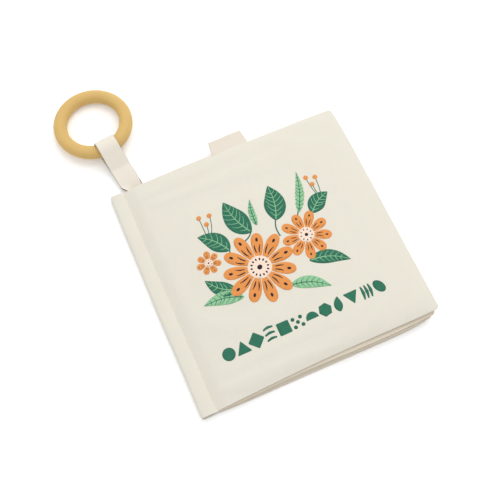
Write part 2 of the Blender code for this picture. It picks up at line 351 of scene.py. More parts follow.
def piece(name, shape, material, node=None, body=None):
    """Piece of the book, with the node that it replaces and the body it rides on."""
    thing = new_object(name, shape, material)
    thing.data.shade_smooth()
    if node:
        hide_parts(node)
    SLOTS.get(material.name.partition(".")[0], "canvas")
    if body:
        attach(thing, body)
    return thing


def thicken(thing, thickness, offset=-1.0, levels=1):
    """Cloth thickness towards the inside, and steps of smoothing."""
    wall = thing.modifiers.new("cloth", "SOLIDIFY")
    wall.thickness = thickness
    wall.offset = offset
    wall.use_even_offset = False
    fine = thing.modifiers.new("smooth", "SUBSURF")
    fine.levels = fine.render_levels = levels
    return thing


def outward_normals(edges):
    """Outward directions in the page's plane at the verts of a sheet's border edges."""
    normals = {}
    for edge in edges:
        a, b = (vert.co.xy for vert in edge.verts)
        side = Vector((b.y - a.y, a.x - b.x)).normalized()
        centre = edge.link_faces[0].calc_center_median().xy
        if side.dot(centre - (a + b) / 2) > 0:
            side = -side
        for vert in edge.verts:
            normals[vert] = normals.get(vert, Vector((0, 0))) + side
    return {vert: normal.normalized() for vert, normal in normals.items()}


def blurred(field, steps):
    """Field of values with its small features smoothed away."""
    for _ in range(steps):
        wide = np.pad(field, 1, mode="edge")
        field = (4 * field + wide[:-2, 1:-1] + wide[2:, 1:-1]
                 + wide[1:-1, :-2] + wide[1:-1, 2:]) / 8
    return field


def pillow(index):
    """Closed pillow of a leaf's two faces, lying flat, and the place of each vert in the grid."""
    shape = grid(SIM_ROWS, SIM_ROWS)
    place = shape.verts.layers.int.new("place")
    upper = list(shape.verts)
    u, v = shares(shape)
    x, y = page_place(u, v, STITCH_X, RIM)
    half = leaf_half(index, x, y)
    rim = np.maximum(np.abs(2 * u - 1), np.abs(v)) > 0.999
    copies = bmesh.ops.duplicate(shape, geom=shape.faces[:])["vert_map"]
    for number, vert in enumerate(upper):
        column, row = round(u[number] * SIM_ROWS), round((v[number] + 1) / 2 * SIM_ROWS)
        height = 0.0 if rim[number] else half[number]
        other = copies[vert]
        vert[place] = 1 + row * (SIM_ROWS + 1) + column
        other[place] = vert[place] if rim[number] else -vert[place]
        vert.co = (x[number], y[number], height)
        other.co = (x[number], y[number], -height)
    bmesh.ops.remove_doubles(shape, verts=shape.verts[:], dist=1e-6)
    recalculate(shape)
    if shape.calc_volume(signed=True) < 0:
        bmesh.ops.reverse_faces(shape, faces=shape.faces[:])
    volume = shape.calc_volume()
    places = np.array([vert[place] for vert in shape.verts])
    return new_object("pillow", shape), places, volume


def simulated_faces(index):
    """Height changes of a leaf's two faces in a cloth simulation under light pressure.

    Each is a square field over the page's own shares, without the broad swelling, so that the
    creases at the seams and the slack between them are what is left.
    """
    thing, places, volume = pillow(index)
    start = np.array([vert.co for vert in thing.data.vertices])
    held = thing.vertex_groups.new(name="stitch_line")
    held.add([number for number, co in enumerate(start) if co[0] < STITCH_X + 1e-5], 1.0, "REPLACE")
    cloth = thing.modifiers.new("cloth", "CLOTH")
    settings = cloth.settings
    settings.quality = 6
    settings.mass = 0.1
    settings.tension_stiffness = settings.compression_stiffness = SIM_STIFFNESS
    settings.shear_stiffness = SIM_STIFFNESS / 2
    settings.bending_stiffness = SIM_BENDING[index]
    settings.use_pressure = True
    settings.use_pressure_volume = True
    settings.target_volume = volume * SIM_FILL[index]
    settings.effector_weights.gravity = 0.0
    settings.vertex_group_mass = "stitch_line"
    settings.shrink_min = -SIM_SLACK[index]
    cloth.point_cache.frame_start, cloth.point_cache.frame_end = 1, SIM_FRAMES
    for number in range(1, SIM_FRAMES + 1):
        bpy.context.scene.frame_set(number)
    graph = bpy.context.evaluated_depsgraph_get()
    end = np.array([vert.co for vert in thing.evaluated_get(graph).data.vertices])
    bpy.data.objects.remove(thing)
    bpy.context.scene.frame_set(1)
    fields = {}
    for side in (1, -1):
        change = np.zeros((SIM_ROWS + 1, SIM_ROWS + 1))
        for place, before, after in zip(places, start, end):
            if place * side > 0:
                row, column = divmod(abs(place) - 1, SIM_ROWS + 1)
                change[row, column] = side * (after[2] - before[2])
        change[0], change[-1], change[:, 0], change[:, -1] = 0, 0, 0, 0
        fields[side] = blurred(change - blurred(change, BROAD_SWELLING), 2)
    return fields


def sample(field, u, v):
    """Values of a square field at shares u from 0 to 1 and v from -1 to 1."""
    rows = field.shape[0] - 1
    a, b = clamp(u) * rows, clamp((v + 1) / 2) * rows
    i, j = np.minimum(a.astype(int), rows - 1), np.minimum(b.astype(int), rows - 1)
    s, t = a - i, b - j
    return ((field[j, i] * (1 - s) + field[j, i + 1] * s) * (1 - t)
            + (field[j + 1, i] * (1 - s) + field[j + 1, i + 1] * s) * t)


def cloth_surface(index, side, x, y, u, v, seed):
    """Height of one face of a leaf, with its soft waves and the creases of the simulation."""
    outer = index == FRONT_COVER and side > 0
    under = index == BACK_COVER and side < 0
    middle = leaf_middle(index, x, y)
    half = leaf_half(index, x, y, SEAM_ROLL if outer or under else INNER_ROLL)
    if under:
        return np.maximum(middle - half, 0)
    places = list(zip(x, y))
    room = smooth((x - STITCH_X) / 0.02) * smooth(np.minimum(*seam_distances(x, y)) / 0.005)
    if outer:
        waves = (BROAD_WAVE * fractal(places, 0.052, seed, 2)
                 + FINE_WAVE * fractal(places, 0.016, seed + 3))
        waves += COVER_RIDGE * ridges(places, 0.020, seed, 0.5, 2.6)
        cap = SEAM_CREASE_CAP
    else:
        waves = PLAIN_WAVE * fractal(places, 0.022, seed)
        cap = CREASE_CAP + SEAM_CREASE_CAP * (1 - puffed(x, y))
    if simulated:
        creases = sample(simulated[index][side], u, v)
        waves = waves + cap * np.tanh(creases / cap)
    elif outer:
        waves = waves + QUICK_RIDGE * ridges(places, 0.017, seed + 9, -0.9, 2.2)
    return middle + side * (half + np.minimum(waves, WAVE_LIMIT) * room)


def leaf_panel(name, index, side, material, node):
    """One cloth panel of a leaf: its face, the rolled seam edge and the turned-in allowance."""
    shape = grid(ROWS, ROWS)
    u, v = shares(shape)
    x, y = page_place(u, v, valley_x(v * HALF), RIM)
    z = press(x, y, cloth_surface(index, side, x, y, u, v, 11 + 2 * index + side))
    for vert, place in zip(shape.verts, np.stack([*lie(index, x, y), z], 1)):
        vert.co = Vector(place)
    flat = {vert: Vector((a, b)) for vert, a, b in zip(shape.verts, x, y)}
    middles = dict(zip(shape.verts, press(x, y, leaf_middle(index, x, y))))
    stitched = {vert for vert, share in zip(shape.verts, u) if share < 0.001}
    border = [edge for edge in shape.edges
              if edge.is_boundary and not stitched.issuperset(edge.verts)]
    normals = outward_normals(border)
    base = {vert: vert.co.copy() for vert in normals}
    eighth, quarter = radians(45), radians(90)
    travelled = 0.0
    steps = ((eighth, 0.0), (quarter, 0.0), (quarter, TURNED_IN))
    for (angle, back), ring in extruded(shape, border, steps):
        travelled += back or RIM * eighth
        for vert, root in ring.items():
            place, normal = base[root], normals[root]
            half = place.z - middles[root]
            wave = noise.noise(Vector((place.x * 190, place.y * 190, 40 + index)))
            out = RIM * sin(angle) - back + RIM_WAVE * wave * sin(angle)
            vert.co.x = place.x + normal.x * out
            vert.co.y = place.y + normal.y * out
            vert.co.z = middles[root] + side * RIM_GAP + (half - side * RIM_GAP) * cos(angle)
            vert.co.z += 0.00008 * wave
            flat[vert] = flat[root] + normal * travelled
    lay_flat(shape, flat)
    recalculate(shape, side, lambda face: abs(face.calc_area() * face.normal.z))
    return thicken(piece(name, shape, material, node), SHELL)


def filling(name, index, faces, wrinkle, seed, material, node, body):
    """Closed sheet or pad inside a leaf, between two heights, with its own crumples."""
    shape = grid(FILLING_ROWS, FILLING_ROWS)
    tall = shape.verts.layers.float.new("upper_height")
    x, y = page_place(*shares(shape), STITCH_X + FILLING_START, FILLING_INSET)
    low, high = faces(leaf_middle(index, x, y), leaf_half(index, x, y))
    crumple = wrinkle * fractal(list(zip(x, y)), 0.009, seed, 2)
    places = np.stack([*lie(index, x, y), low + crumple], 1)
    for vert, place, level in zip(shape.verts, places, high + crumple):
        vert.co = Vector(place)
        vert[tall] = level
    lay_flat(shape, {vert: vert.co.xy for vert in shape.verts})
    for item in bmesh.ops.extrude_face_region(shape, geom=shape.faces[:])["geom"]:
        if isinstance(item, bmesh.types.BMVert):
            item.co.z = item[tall]
    shape.verts.layers.float.remove(tall)
    recalculate(shape)
    return piece(name, shape, material, node, body)


# Spine band: how far out from the groove and how high, as shares, from the upper groove round
# the fold of the spine to the lower groove. Then its ends: how far out and in each step goes.
BAND_SHARES = [
    (-0.10, 0.76), (0.0, 0.811), (0.06, 0.85), (0.14, 0.925), (0.26, 0.985), (0.45, 1.008),
    (0.63, 1.008), (0.79, 0.985), (0.91, 0.905), (0.98, 0.74), (1.0, 0.5), (0.98, 0.26),
    (0.91, 0.095), (0.79, 0.015), (0.63, 0.0), (0.42, 0.03), (0.24, 0.10), (0.10, 0.155),
    (0.0, 0.17), (-0.10, 0.225),
]
BAND_ENDS = [(0.00012, 0.0001), (0.00016, 0.00035), (0.00004, 0.0006), (-0.0022, 0.0008)]
BAND_ROWS = 64
BAND_REACH = HALF - TOP_EDGE_BOW
BAND_ROUNDED_FROM = 0.0765
SKIRT_DROP = 0.0007


def band_place(out, level, up):
    """Point of the spine band for a share up of its half height, from -1 to 1."""
    y = up * BAND_REACH
    valley = valley_x(y)
    depth = valley - (SPINE_X + SPINE_BOW * up ** 2)
    wave = noise.noise(Vector((up * 3.1, level * 0.8, 5.5)))
    fine = noise.noise(Vector((up * 9.0, out * 2.0, 8.5)))
    beyond = max(out, 0)
    x = valley - depth * out - 0.00016 * wave * beyond
    rounded = 0.0004 * float(smooth((abs(y) - BAND_ROUNDED_FROM) / 0.003))
    x += (rounded + 0.0003 + 0.0004 * float(smooth(-up * 1.6))) * beyond ** 3
    swell = 0.00012 * (wave + 0.5 * fine) * sin(pi * min(beyond, 1))
    skirt = float(smooth((-up - 0.6) / 0.4) * smooth((0.7 - level) / 0.7))
    upper, lower = (drawn_in(index, STITCH_X, y) for index in (FRONT_COVER, BACK_COVER))
    drawn = float(upper * level + lower * (1 - level))
    return Vector((x, y + drawn - SKIRT_DROP * skirt, BAND_THICKNESS * level + swell * level))


def lengths_along(path, wide=1.0, tall=1.0):
    """Length of a path up to each of its points, with its two axes scaled."""
    lengths = [0.0]
    for (a, b), (c, d) in zip(path, path[1:]):
        lengths.append(lengths[-1] + hypot((c - a) * wide, (d - b) * tall))
    return lengths


def spine_band(material):
    """Cover cloth round the spine, its ends folded in over the sewn margins."""
    last = len(BAND_SHARES) - 1
    shape = grid(last, BAND_ROWS)
    lengths = lengths_along(BAND_SHARES, SPINE_MARGIN, BAND_THICKNESS)
    flat = {}
    for vert in shape.verts:
        number, up = round((vert.co.x + 1) / 2 * last), vert.co.y
        vert.co = band_place(*BAND_SHARES[number], up)
        flat[vert] = Vector((-lengths[number] + STITCH_X, vert.co.y))
    recalculate(shape, 1, lambda face: face.calc_center_median().z)
    shape.normal_update()
    ends = [edge for edge in shape.edges if edge.is_boundary
            and abs(edge.verts[0].co.y - edge.verts[1].co.y) < 0.0011
            and all(abs(vert.co.y) > BAND_REACH - 0.0002 for vert in edge.verts)]
    base = {vert: (vert.co.copy(), vert.normal.copy()) for edge in ends for vert in edge.verts}
    for (out, inset), ring in extruded(shape, ends, BAND_ENDS):
        for vert, root in ring.items():
            place, normal = base[root]
            way = copysign(1, place.y)
            vert.co = place - normal * inset + Vector((0, way * out, 0))
            flat[vert] = flat[root] + Vector((0, way * (inset + max(0, -out))))
    lay_flat(shape, flat)
    thing = piece("spine_band_cloth", shape, material, "spine_wrap", BASE)
    return thicken(thing, SHELL * 1.5, levels=2)


MARGINS = 8
MARGINS_LOW, MARGINS_HIGH = 0.00125, 0.0040
MARGIN_WIDTH, MARGIN_NARROWING = 0.0072, 0.0022


def margin_layers(material):
    """Pressed seam margins of all eight panels, one over the other inside the band."""
    shape = bmesh.new()
    step = (MARGINS_HIGH - MARGINS_LOW) / MARGINS
    for number in range(MARGINS):
        level = MARGINS_LOW + step * (number + 0.5)
        share = (level - MARGINS_LOW) / (MARGINS_HIGH - MARGINS_LOW)
        out = MARGIN_WIDTH - MARGIN_NARROWING * (2 * share - 1) ** 2
        place = (STITCH_X - 0.0002 - out / 2, 0, level + 0.00004 * (-1) ** number)
        size = (out, 2 * (BAND_REACH - 0.0011 - 0.0002 * (number % 3)), step * 0.8, 1)
        made = bmesh.ops.create_cube(
            shape, size=1.0, matrix=Matrix.Translation(place) @ Matrix.Diagonal(size))
        rims = {edge for vert in made["verts"] for edge in vert.link_edges}
        bmesh.ops.bevel(shape, geom=list(rims), offset=step * 0.3, segments=2, profile=0.5,
                        affect="EDGES", material=-1)
    return piece("sewn_margin_layers", shape, material, "sewn_margins", BASE)


STITCH = 0.0032
STITCH_SIZE = (0.00021, STITCH * 0.45, 0.0002, 1)
UPPER_ROW_LEVEL, LOWER_ROW_LEVEL = 0.85, 0.158
STITCH_LEAN = radians(4)


def stitch_row(where, side, level, material):
    """Row of lockstitches in the groove, on the upper or the lower side."""
    shape = bmesh.new()
    turn = Matrix.Rotation(STITCH_LEAN, 4, "Z") @ Matrix.Diagonal(STITCH_SIZE)
    count = int(2 * (BAND_REACH - 0.002) / STITCH)
    for number in range(count):
        y = (number + 0.5 - count / 2) * STITCH
        cloth = band_place(0.06, level, y / BAND_REACH)
        place = Matrix.Translation((valley_x(y) - 0.0006, cloth.y, cloth.z - side * 0.00003))
        bmesh.ops.create_uvsphere(shape, u_segments=6, v_segments=6, radius=1.0,
                                  matrix=place @ turn @ Matrix.Rotation(pi / 2, 4, "X"))
    return piece(f"{where}_stitches", shape, material, f"{where}_stitch_thread", BASE)


def arc(radius, centre, start, end, steps):
    """Points of an arc about a centre on the first axis, from one angle to another."""
    angles = [start + (end - start) * number / steps for number in range(steps + 1)]
    return [(centre + radius * cos(angle), radius * sin(angle)) for angle in angles]


def line(start, end, steps):
    """Points from start up to end, without the last one."""
    return [tuple(a + (b - a) * number / steps for a, b in zip(start, end))
            for number in range(steps)]


def ribbon(name, path, width, columns, shape_place, material, thickness, node, levels=2):
    """Flat tape along a path. shape_place turns a path point and a place across into a point."""
    rows = len(path) - 1
    lengths = lengths_along(path)
    shape = grid(columns, rows)
    flat = {}
    for vert in shape.verts:
        aside, number = vert.co.x * width / 2, round((vert.co.y + 1) / 2 * rows)
        flat[vert] = (aside, lengths[number])
        vert.co = shape_place(path[number], aside)
    lay_flat(shape, flat)
    recalculate(shape)
    return thicken(piece(name, shape, material, node), thickness, offset=0.0, levels=levels)


def loop_radius():
    ring_radius = (RING_OUTER - RING_TUBE) / 2
    hole_radius = ring_radius - RING_TUBE / 2
    return ring_radius - sqrt(hole_radius ** 2 - (STRAP_WIDTH / 2) ** 2) + GAP


def strap_frame():
    """Place and turn of the strap's start at the top seam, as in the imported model."""
    side = STRAP_WIDTH / 2 * sin(STRAP_SKEW)
    x = STITCH_X + STRAP_FROM_STITCH
    y = float(top_edge(x)) + GAP + STRAP_PLY + side
    z = STRAP_PLY + GAP
    outer = loop_radius() + STRAP_PLY
    pitch = asin((outer + GAP / 2 - z) / STRAP_REACH)
    skew = Matrix.Rotation(STRAP_SKEW, 4, "Z")
    return Matrix.Translation((x, y, z)) @ skew @ Matrix.Rotation(pitch, 4, "X")


# The strap's cloth: its ply, where it starts inside the seam, how it stands beside the solid at
# the seam and at the ring, and how its lower end is drawn and raised at the corner
TAPE_PLY = 0.0006
TAPE_START = -0.0030
TAPE_PUFF = 0.0004
TAPE_ASIDE, TAPE_STRAIGHTENED = 0.0011, 0.0007
TAIL_BEND, TAIL_DRAW, TAIL_RISE = 0.0038, 0.0030, 0.0021


def ring_strap(material):
    """Folded cotton tape with a loop wide enough for the ring to swing in."""
    radius = loop_radius() + TAPE_PLY / 2
    half = TAPE_PLY / 2 + 0.00005
    reach = hypot(LOOP_THROAT, half)
    touch = atan2(half, -LOOP_THROAT) - acos(radius / reach)
    merge = STRAP_REACH - LOOP_THROAT
    loop = arc(radius, STRAP_REACH, touch, -touch, 26)
    path = line((TAPE_START, half), (merge, half), 9) + line((merge, half), loop[0], 6) + loop
    path += [(a, -b) for a, b in reversed(path[:15])]
    frame_of = strap_frame()

    def place(point, aside):
        a, b = point
        b += TAPE_PUFF * sin(pi * min(max(a / merge, 0), 1))
        side = aside / (STRAP_WIDTH / 2)
        lower = max(0, -side)
        pull = float(smooth(a / STRAP_REACH))
        aside += TAPE_ASIDE - (TAPE_STRAIGHTENED + 0.0001 * side) * pull
        bend = min(max((TAIL_BEND - a) / TAIL_BEND, 0), 1)
        aside += TAIL_DRAW * (1 - sqrt(1 - bend * bend)) * lower ** 1.5
        b += TAIL_RISE * sin(pi * min(bend * 0.62, 1)) * lower ** 1.4
        point = frame_of @ Vector((aside, a, b))
        point.z = max(point.z, 0.0004)
        return point

    return ribbon("ring_strap_tape", path, STRAP_WIDTH, 12, place, material, TAPE_PLY, "ring_strap")


RING_ASIDE, RING_SLIMMER = 0.0004, 0.00015


def teething_ring(material):
    """Solid silicone ring, which leans from the strap's loop down to the table."""
    radius = (RING_OUTER - RING_TUBE) / 2
    shape = bmesh.new()
    round_face = RING_TUBE / 2 - RING_SLIMMER
    circle = bmesh.ops.create_circle(shape, segments=40, radius=round_face)["verts"]
    bmesh.ops.rotate(shape, verts=circle, matrix=Matrix.Rotation(pi / 2, 3, "X"))
    bmesh.ops.translate(shape, verts=circle, vec=(radius, 0, 0))
    bmesh.ops.spin(shape, geom=shape.verts[:] + shape.edges[:], axis=(0, 0, 1), cent=(0, 0, 0),
                   steps=128, angle=tau, use_merge=True)
    recalculate(shape)
    bmesh.ops.translate(shape, verts=shape.verts[:], vec=(0, radius, 0))
    centre = strap_frame() @ Vector((RING_ASIDE, STRAP_REACH, 0))
    tilt = -asin((centre.z - RING_TUBE / 2) / (2 * radius))
    turn = Matrix.Rotation(STRAP_SKEW, 4, "Z") @ Matrix.Rotation(tilt, 4, "X")
    bmesh.ops.transform(shape, verts=shape.verts[:], matrix=Matrix.Translation(centre) @ turn)
    return piece("silicone_ring", shape, material, "ring", "teething_ring")


LABEL_X = STITCH_X + LABEL_FROM_STITCH
LABEL_Y = float(top_edge(LABEL_X))
LABEL_TURN = radians(1.2)
LABEL_FLARE, LABEL_DROOP, LABEL_SPREAD = 0.0005, 0.0003, 0.085


def care_label(material):
    """Blank folded tape in the front cover's top seam."""
    point = (np.array([LABEL_X]), np.array([LABEL_Y - 0.0002]))
    level = float(leaf_middle(FRONT_COVER, *point)[0])
    ply = LABEL_PLY * 0.8
    half = ply / 2 + 0.00006
    far = LABEL_REACH - half
    path = line((-0.0022, half), (far, half), 12) + arc(half, far, pi / 2, -pi / 2, 6)
    path += [(a, -b) for a, b in reversed(path[:12])]
    turn = Matrix.Translation((LABEL_X, LABEL_Y, level)) @ Matrix.Rotation(LABEL_TURN, 4, "Z")

    def place(point, aside):
        a, b = point
        out = max(a, 0) / LABEL_REACH
        b += (LABEL_FLARE * out ** 2 * cos(aside / LABEL_WIDTH * 2.2)
              - LABEL_DROOP * out ** 2)
        aside *= 1 + LABEL_SPREAD * (1 - out)
        return turn @ Vector((aside, a + 0.00012 * sin(aside * 300), b))

    return ribbon("care_label_tape", path, LABEL_WIDTH, 14, place, material, ply, "care_label",
                  levels=1)


# Materials

WHITE = (1.0, 1.0, 1.0, 1.0)

# The slot of each material but canvas and inks. Blender adds a point and a number to a name that
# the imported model's own materials have too, such as crinkle_film.
SLOTS = {"page_cotton": "page_cloth", "margin_cotton": "page_cloth", "cotton_thread": "thread",
         "crinkle_film": "crinkle_film", "polyester_wadding": "wadding",
         "ring_silicone": "silicone", "strap_cotton_tape": "webbing",
         "label_cotton_tape": "label_tape"}


def linear(*screen):
    """Screen colour from 0 to 255 as the linear colour that a shader takes."""
    values = [value / 255 for value in screen]
    return (*(value / 12.92 if value <= 0.04045 else ((value + 0.055) / 1.055) ** 2.4
              for value in values), 1.0)


class Nodes:
    """Short ways to add nodes to a tree."""

    def __init__(self, tree):
        self.tree = tree

    def put(self, value, socket):
        if isinstance(value, bpy.types.NodeSocket):
            self.tree.links.new(value, socket)
        else:
            socket.default_value = value

    def node(self, kind, inputs=(), **settings):
        """New node with its plain settings, and its inputs by name or number."""
        node = self.tree.nodes.new("ShaderNode" + kind)
        for key, value in settings.items():
            setattr(node, key, value)
        for key, value in dict(inputs).items():
            self.put(value, node.inputs[key])
        return node

    def add(self, kind, inputs=(), output=0, **settings):
        return self.node(kind, inputs, **settings).outputs[output]

    def maths(self, operation, *values):
        return self.add("Math", enumerate(values), operation=operation)

    def mix(self, share, first, second, blend_type="MIX"):
        return self.add("Mix", {0: share, 6: first, 7: second}, 2, data_type="RGBA",
                        blend_type=blend_type)

    def noise(self, place, scale, detail, output="Fac"):
        return self.add("TexNoise", {"Vector": place, "Scale": scale, "Detail": detail}, output)

    def bump(self, height, strength, distance, **normal):
        return self.add("Bump", {"Height": height, "Strength": strength, "Distance": distance,
                                 **normal})


def plain_weave(n, place, yarns):
    """Plain weave: the height of crossing yarns and a mask of the gaps between them."""
    wobble = n.noise(place, 140.0, 2.0, "Color")
    shift = n.add("VectorMath", {0: wobble, "Scale": 0.0011}, operation="SCALE")
    axes = n.node("SeparateXYZ", {0: n.add("VectorMath", {0: place, 1: shift})}).outputs
    warp, weft = (n.maths("SINE", n.maths("MULTIPLY", axis, yarns * pi))
                  for axis in axes[:2])
    cross = n.maths("MULTIPLY", warp, weft)
    crest = n.maths("ABSOLUTE", cross)
    over = n.maths("MULTIPLY_ADD", n.maths("SIGN", cross), 0.5, 0.5)
    under = n.maths("SUBTRACT", 1.0, over)
    upper, lower = (n.maths("MULTIPLY", n.maths("POWER", n.maths("ABSOLUTE", yarn), 0.7), share)
                    for yarn, share in ((warp, over), (weft, under)))
    height = n.maths("MULTIPLY", n.maths("ADD", upper, lower),
                     n.maths("MULTIPLY_ADD", crest, 0.6, 0.4))
    rough = n.maths("MULTIPLY", n.noise(place, 900.0, 2.0), 0.3)
    gaps = n.maths("SUBTRACT", 1.0, n.maths("MULTIPLY", crest, 1.6))
    return n.maths("ADD", height, rough), n.maths("MAXIMUM", gaps, 0.0)


def natural_tone(n, place, colour, warm, specks):
    """Colour of undyed cotton: faint clouds, slubs and darker specks of seed husk."""
    tone = n.mix(n.maths("MULTIPLY", n.noise(place, 38.0, 3.0), 0.25), colour, warm)
    slubs = n.add("Mapping", {"Vector": place, "Scale": (900.0, 70.0, 900.0)})
    bright = n.maths("MULTIPLY_ADD", n.noise(slubs, 1.0, 1.0), 0.035, 0.985)
    shaded = n.add("VectorMath", {0: tone, "Scale": bright}, operation="SCALE")
    dots = n.node("TexVoronoi", {"Vector": place, "Scale": 170.0}).outputs
    chosen = n.maths("GREATER_THAN", n.add("SeparateColor", {0: dots["Color"]}), 0.86)
    rare = n.maths("MULTIPLY", n.maths("LESS_THAN", dots["Distance"], 0.055), chosen)
    return n.mix(n.maths("MULTIPLY", rare, specks), shaded, (0.30, 0.21, 0.12, 1.0))


def new_material(name, roughness, specular, **plain):
    """Material with the plain numbers of its Principled shader set."""
    material = bpy.data.materials.new(name)
    material.use_nodes = True
    inputs = material.node_tree.nodes["Principled BSDF"].inputs
    for key, value in dict(Roughness=roughness, Specular_IOR_Level=specular, **plain).items():
        inputs[key.replace("_", " ")].default_value = value
    return material, Nodes(material.node_tree), inputs


def new_cloth(name, roughness, specular, sheen, yarns):
    """Material of woven cloth so far, with its flat layout and its weave's height and gaps."""
    material, n, inputs = new_material(name, roughness, specular, Sheen_Weight=sheen,
                                       Sheen_Roughness=0.6)
    flat = n.add("UVMap", uv_map="cloth")
    return material, n, inputs, flat, *plain_weave(n, flat, yarns)


# Painted shade along the strap tape's edges and a darker painted shadow at its lower end: the width of the
# shaded edge, and where the shadow ends, how fast it fades and how much wider it gets
EDGE_SHADE = 0.00020
TAIL_SHADOW_END, TAIL_SHADOW_FADE, TAIL_SHADOW_WIDTH = 0.0072, 400.0, 0.00035
CANVAS_YARNS = 2100.0
CANVAS = linear(238, 234, 220)
INK_WORN = 0.10


def painted_edge_shade(n, flat, cloth, width):
    """Painted shade along both edges of a tape that is so wide, for the shaded sides of its plies, and a
    darker, wider painted shadow at its lower end, where it dips into the seam.
    """
    axes = n.node("SeparateXYZ", {0: flat}).outputs
    tail_shadow = n.maths("MULTIPLY", n.maths("SUBTRACT", TAIL_SHADOW_END, axes[1]), TAIL_SHADOW_FADE)
    tail_shadow = n.maths("MAXIMUM", n.maths("MINIMUM", tail_shadow, 1.0), 0.0)
    inner = n.maths("MULTIPLY_ADD", tail_shadow, -TAIL_SHADOW_WIDTH, width / 2 - EDGE_SHADE)
    shaded_edge = n.maths("GREATER_THAN", n.maths("ABSOLUTE", axes[0]), inner)
    # Painted shade on the tape's edges, turning to a darker painted shadow at its lower end.
    return n.mix(shaded_edge, cloth, n.mix(tail_shadow, linear(160, 126, 92), linear(96, 70, 46)))


def woven(name, colour, warm, yarns, depth, specks=0.16, width=None):
    """Undyed cotton cloth with painted shade in the gaps between its yarns and, given a width, painted shade
    along its edges. The weave follows the cloth's own flat layout.
    """
    material, n, inputs, flat, height, gaps = new_cloth(name, 0.92, 0.15, 0.12, yarns)
    tone = natural_tone(n, flat, colour, warm, specks)
    # Painted shade: the gaps between the yarns are darkened towards a brown tone.
    dark = n.mix(1.0, tone, (0.62, 0.56, 0.46, 1.0), "MULTIPLY")
    cloth = n.mix(n.maths("MULTIPLY", gaps, 0.10), tone, dark)
    n.put(painted_edge_shade(n, flat, cloth, width) if width else cloth, inputs["Base Color"])
    grain = n.bump(height, 0.45, depth)
    n.put(n.bump(n.noise(flat, 75.0, 3.0), 0.35, 0.0006, Normal=grain), inputs["Normal"])
    return material


def print_ink(name, colour, second):
    """Ink on the cover's canvas, a little worn on the crests of the yarns."""
    material, n, inputs, flat, height, _ = new_cloth(name, 0.85, 0.2, 0.05, CANVAS_YARNS)
    colour = n.mix(n.noise(flat, 260.0, 4.0), colour, second)
    bare = n.maths("MULTIPLY", n.maths("GREATER_THAN", height, 1.05), INK_WORN)
    n.put(n.mix(bare, colour, CANVAS), inputs["Base Color"])
    n.put(n.bump(height, 0.35, 0.00014), inputs["Normal"])
    return material


def silicone_material():
    material, n, inputs = new_material(
        "ring_silicone", 0.6, 0.22, Subsurface_Weight=0.3, Subsurface_Scale=0.004,
        Subsurface_Radius=(1.0, 0.55, 0.2))
    place = n.add("TexCoord", output="Object")
    n.put(n.mix(n.noise(place, 60.0, 3.0), linear(225, 191, 123), linear(220, 184, 113)),
          inputs["Base Color"])
    n.put(n.maths("MULTIPLY_ADD", n.noise(place, 900.0, 4.0), 0.16, 0.52), inputs["Roughness"])
    n.put(n.bump(n.noise(place, 420.0, 2.0), 0.12, 0.0002), inputs["Normal"])
    return material


def fine_material(name, shine, texture, colours, bump, turn=0.0, **plain):
    """Material with one texture that mixes its two colours and raises it.

    shine holds roughness and specular, texture the node's kind, inputs, output and settings,
    bump its strength and height.
    """
    material, n, inputs = new_material(name, *shine, **plain)
    kind, numbers, output, settings = texture
    place = n.add("TexCoord", output="Object")
    if turn:
        place = n.add("Mapping", {"Vector": place, "Rotation": (0.0, 0.0, turn)})
    pattern = n.add(kind, {"Vector": place, **numbers}, output, **settings)
    n.put(n.mix(pattern, *(linear(*colour) for colour in colours)), inputs["Base Color"])
    n.put(n.bump(pattern, *bump), inputs["Normal"])
    return material


canvas = woven("cover_canvas", CANVAS, linear(237, 226, 209), CANVAS_YARNS, 0.00016)
page_cloth = woven("page_cotton", linear(237, 227, 208), linear(231, 213, 188), 2700.0, 0.00011)
# The strap tape gets painted shade along its edges and a painted shadow at its lower end.
tape = woven("strap_cotton_tape", linear(246, 239, 226), linear(248, 236, 213), 2500.0, 0.00013,
             specks=0.1, width=STRAP_WIDTH)
label_tape = woven("label_cotton_tape", linear(238, 229, 214), linear(236, 222, 204), 3300.0,
                   0.00008, specks=0.0)
margin_cloth = woven("margin_cotton", linear(230, 222, 206), linear(224, 208, 184), 2400.0, 0.0001)
INKS = {name: print_ink(f"ink_{name}", linear(*first), linear(*second))
        for name, first, second in (("dark_green", (40, 108, 84), (52, 122, 96)),
                                    ("light_green", (140, 198, 148), (158, 210, 164)),
                                    ("orange", (234, 148, 74), (238, 158, 88)),
                                    ("peach", (252, 226, 206), (253, 232, 214)),
                                    ("near_black", (34, 26, 38), (46, 36, 48)))}
silicone = silicone_material()
thread = fine_material(
    "cotton_thread", (0.7, 0.3), ("TexWave", {"Scale": 700.0, "Distortion": 0.4}, "Fac", {}),
    ((226, 219, 203), (240, 235, 222)), (0.5, 0.00005), turn=radians(40), Sheen_Weight=0.1)
wadding = fine_material(
    "polyester_wadding", (0.95, 0.1), ("TexNoise", {"Scale": 700.0, "Detail": 6.0}, "Fac", {}),
    ((236, 236, 234), (250, 250, 248)), (0.8, 0.0004), Sheen_Weight=0.3)
film = fine_material(
    "crinkle_film", (0.22, 0.5),
    ("TexVoronoi", {"Scale": 160.0}, "Distance", {"feature": "DISTANCE_TO_EDGE"}),
    ((226, 230, 232), (204, 212, 216)), (0.8, 0.0005))


# Covers and leaves, from the back cover up: the panel below, the panel above and the bodies
LEAVES = [
    ("back_cover", ("outer", canvas), ("inner", page_cloth), [BASE]),
    ("lower_leaf", ("back", page_cloth), ("front", page_cloth), [BASE, "lower_leaf"]),
    ("upper_leaf", ("back", page_cloth), ("front", page_cloth), ["lower_leaf", "upper_leaf"]),
    ("front_cover", ("inner", page_cloth), ("outer", canvas), ["upper_leaf", "front_cover"]),
]


